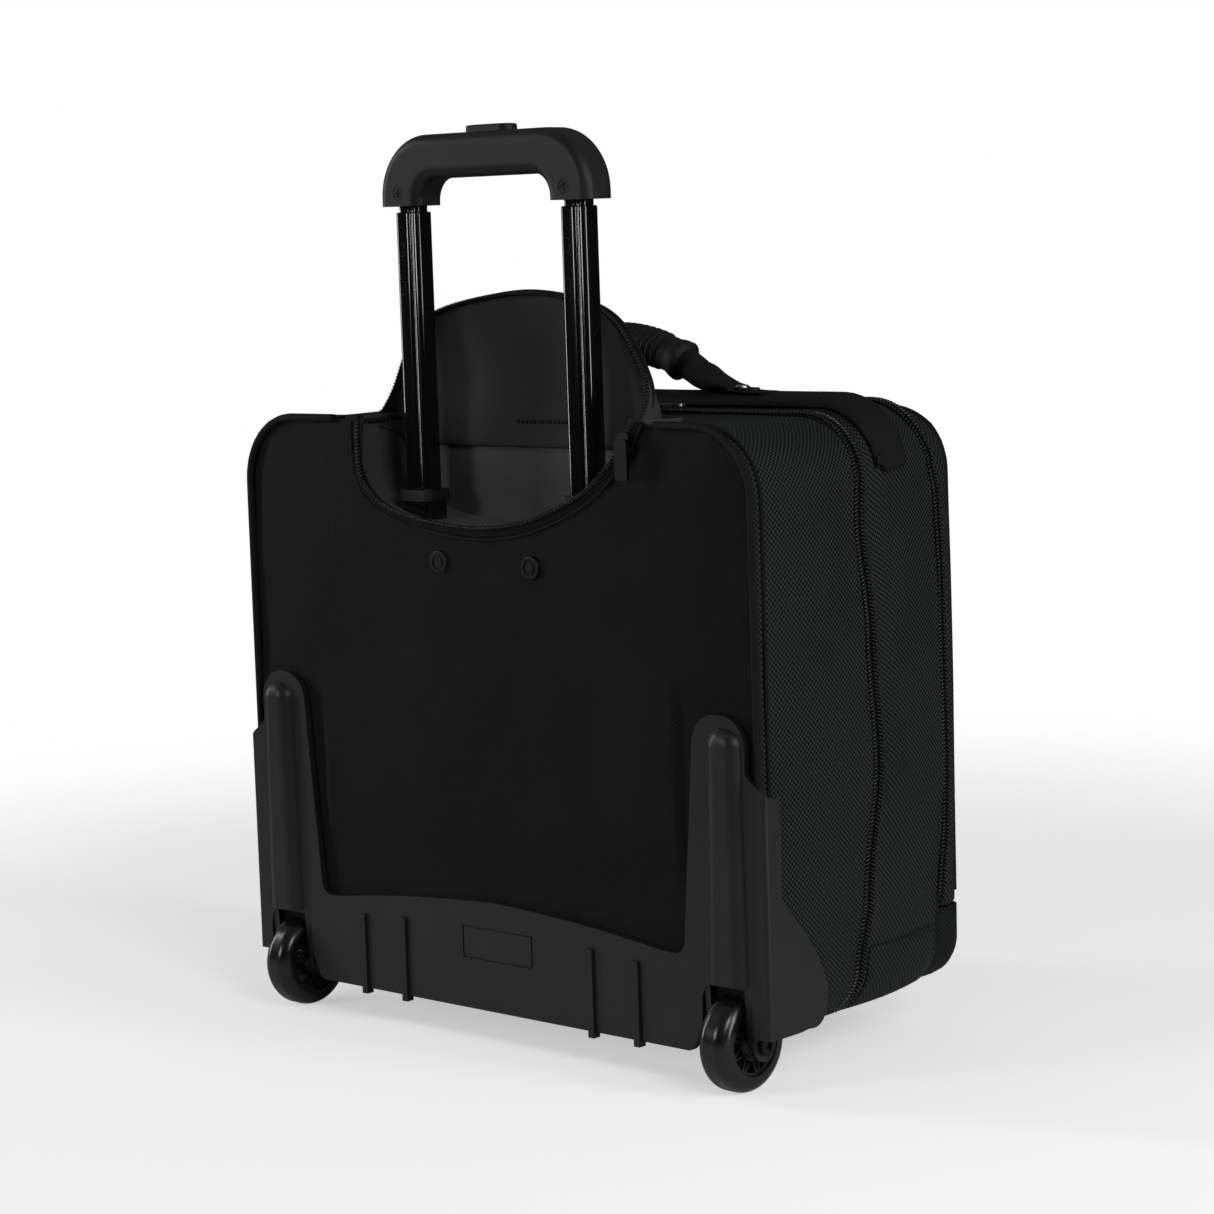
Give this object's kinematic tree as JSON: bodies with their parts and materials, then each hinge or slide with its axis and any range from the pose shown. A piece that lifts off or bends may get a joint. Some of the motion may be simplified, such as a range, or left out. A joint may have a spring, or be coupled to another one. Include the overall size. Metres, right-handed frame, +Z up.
{
  "type": "rolling laptop case",
  "caption": "Wheeled soft laptop case with zipped compartments, carry handle, telescoping trolley handle and moulded kick plate.",
  "frame": {"origin": "on the floor under the middle of the whole object", "axes": "+Z up, +Y towards the trolley side, -Y towards the pockets, X across the case"},
  "size_m": [0.438, 0.224, 0.5692],
  "materials": {
    "ballistic_fabric": "tight near-black ballistic weave, matt",
    "gusset_fabric": "near-black woven fabric, slightly greener and lighter than the back",
    "satin_lining": "smooth satin nylon lining, soft sheen",
    "webbing": "ribbed nylon webbing, matt",
    "binding": "twill binding tape and piping, matt",
    "zipper_coil": "black nylon coil on woven tape, low gloss",
    "moulded_plastic": "charcoal moulded plastic with a fine satin grain",
    "grip_plastic": "soft-touch black moulded plastic",
    "tube_enamel": "glossy black enamel on aluminium",
    "bright_steel": "bright steel",
    "black_steel": "black oxide steel",
    "tyre_rubber": "glossy black cast urethane",
    "hub_plastic": "black nylon",
    "handle_rubber": "ribbed black rubber",
    "board": "black polyethylene board",
    "inlay_metal": "warm brushed metal disc",
    "foot_rubber": "matt black rubber"
  },
  "bodies": {
    "rear_case": {"rear_gusset": "gusset_fabric", "back_panel": "ballistic_fabric", "back_piping": "binding", "opening_zipper": "zipper_coil", "recess_wall": "satin_lining", "main_zipper_rear": "zipper_coil", "base_board": "board", "laptop_sleeve": "satin_lining", "sleeve_strap": "webbing", "snap_caps": "black_steel", "kick_plate": "moulded_plastic", "plate_rivets": "black_steel", "axle_bolts": "black_steel", "axle_nuts": "bright_steel", "axle_washers": "bright_steel", "outer_tube_left": "tube_enamel", "outer_tube_right": "tube_enamel", "tube_collars": "grip_plastic", "tube_bracket": "moulded_plastic", "flap_slider": "black_steel"},
    "front_case": {"middle_gusset": "gusset_fabric", "main_zipper_front": "zipper_coil", "pocket_zipper_rear": "zipper_coil", "divider_panel": "satin_lining", "file_divider": "satin_lining", "organizer_panel": "satin_lining", "front_base": "ballistic_fabric", "front_feet": "foot_rubber", "handle_strap": "webbing", "anchor_plates": "black_steel", "anchor_rivets": "bright_steel"},
    "front_pocket": {"front_panel": "gusset_fabric", "front_pouch": "ballistic_fabric", "pocket_zipper_front": "zipper_coil"},
    "middle_stage": {"middle_tube_left": "tube_enamel", "middle_tube_right": "tube_enamel"},
    "grip_stage": {"inner_tube_left": "tube_enamel", "inner_tube_right": "tube_enamel", "grip_lower": "grip_plastic", "grip_upper": "grip_plastic", "grip_screws": "black_steel"},
    "release": {"push_button": "grip_plastic", "button_inlay": "inlay_metal", "release_yoke": "hub_plastic"},
    "wheel_left": {"tyre_left": "tyre_rubber", "wheel_hub_left": "hub_plastic", "bearing_left": "bright_steel"},
    "wheel_right": {"tyre_right": "tyre_rubber", "wheel_hub_right": "hub_plastic", "bearing_right": "bright_steel"},
    "carry_handle": {"handle_core": "webbing", "handle_sleeve": "handle_rubber"},
    "flap": {"recess_flap": "gusset_fabric"},
    "flap_tab": {"flap_pull": "black_steel"},
    "main_slider_a": {"main_slider_left": "bright_steel"},
    "main_tab_a": {"main_pull_left": "bright_steel"},
    "main_slider_b": {"main_slider_right": "bright_steel"},
    "main_tab_b": {"main_pull_right": "bright_steel"},
    "pocket_slider_a": {"pocket_slider": "bright_steel"},
    "pocket_tab_a": {"pocket_pull": "bright_steel"}
  },
  "joints": [
    {"name": "case_hinge", "type": "hinge", "parent": "rear_case", "child": "front_case", "pos_m": [0, -0.014, 0.0304], "axis": [1, 0, 0], "range_deg": [0, 90]},
    {"name": "pocket_hinge", "type": "hinge", "parent": "front_case", "child": "front_pocket", "pos_m": [0, -0.112, 0.08], "axis": [1, 0, 0], "range_deg": [0, 75]},
    {"name": "lower_stage_slide", "type": "slide", "parent": "rear_case", "child": "middle_stage", "axis": [0, 0, 1], "range_m": [-0.173, 0.068]},
    {"name": "upper_stage_slide", "type": "slide", "parent": "middle_stage", "child": "grip_stage", "axis": [0, 0, 1], "range_m": [0, 0.225]},
    {"name": "button_press", "type": "slide", "parent": "grip_stage", "child": "release", "axis": [0, 0, -1], "range_m": [0, 0.0035], "stiffness_N_per_m": 400, "springref_m": -0.002},
    {"name": "wheel_left_spin", "type": "hinge", "parent": "rear_case", "child": "wheel_left", "pos_m": [0.187, 0.082, 0.03], "axis": [1, 0, 0], "continuous": true},
    {"name": "wheel_right_spin", "type": "hinge", "parent": "rear_case", "child": "wheel_right", "pos_m": [-0.187, 0.082, 0.03], "axis": [1, 0, 0], "continuous": true},
    {"name": "handle_tilt", "type": "hinge", "parent": "front_case", "child": "carry_handle", "pos_m": [0, -0.04, 0.406], "axis": [1, 0, 0], "range_deg": [-30, 35]},
    {"name": "flap_fold", "type": "hinge", "parent": "rear_case", "child": "flap", "pos_m": [0, 0.04, 0.3915], "axis": [1, 0, 0], "range_deg": [0, 30]},
    {"name": "flap_tab_swing", "type": "hinge", "parent": "rear_case", "child": "flap_tab", "pos_m": [-0.12, 0.0964, 0.3812], "axis": [1, 0, 0], "range_deg": [0, 120]},
    {"name": "main_slider_a_run", "type": "slide", "parent": "rear_case", "child": "main_slider_a", "axis": [1, 0, 0], "range_m": [0, 0.16]},
    {"name": "main_tab_a_swing", "type": "hinge", "parent": "main_slider_a", "child": "main_tab_a", "pos_m": [-0.0255, -0.014, 0.3944], "axis": [0, -1, 0], "range_deg": [0, 110]},
    {"name": "main_slider_b_run", "type": "slide", "parent": "rear_case", "child": "main_slider_b", "axis": [-1, 0, 0], "range_m": [0, 0.1]},
    {"name": "main_tab_b_swing", "type": "hinge", "parent": "main_slider_b", "child": "main_tab_b", "pos_m": [-0.0505, -0.014, 0.3944], "axis": [0, 1, 0], "range_deg": [0, 110]},
    {"name": "pocket_slider_run", "type": "slide", "parent": "front_case", "child": "pocket_slider_a", "axis": [1, 0, 0], "range_m": [-0.16, 0.1]},
    {"name": "pocket_tab_swing", "type": "hinge", "parent": "pocket_slider_a", "child": "pocket_tab_a", "pos_m": [0.0295, -0.086, 0.3984], "axis": [0, -1, 0], "range_deg": [0, 110]}
  ]
}
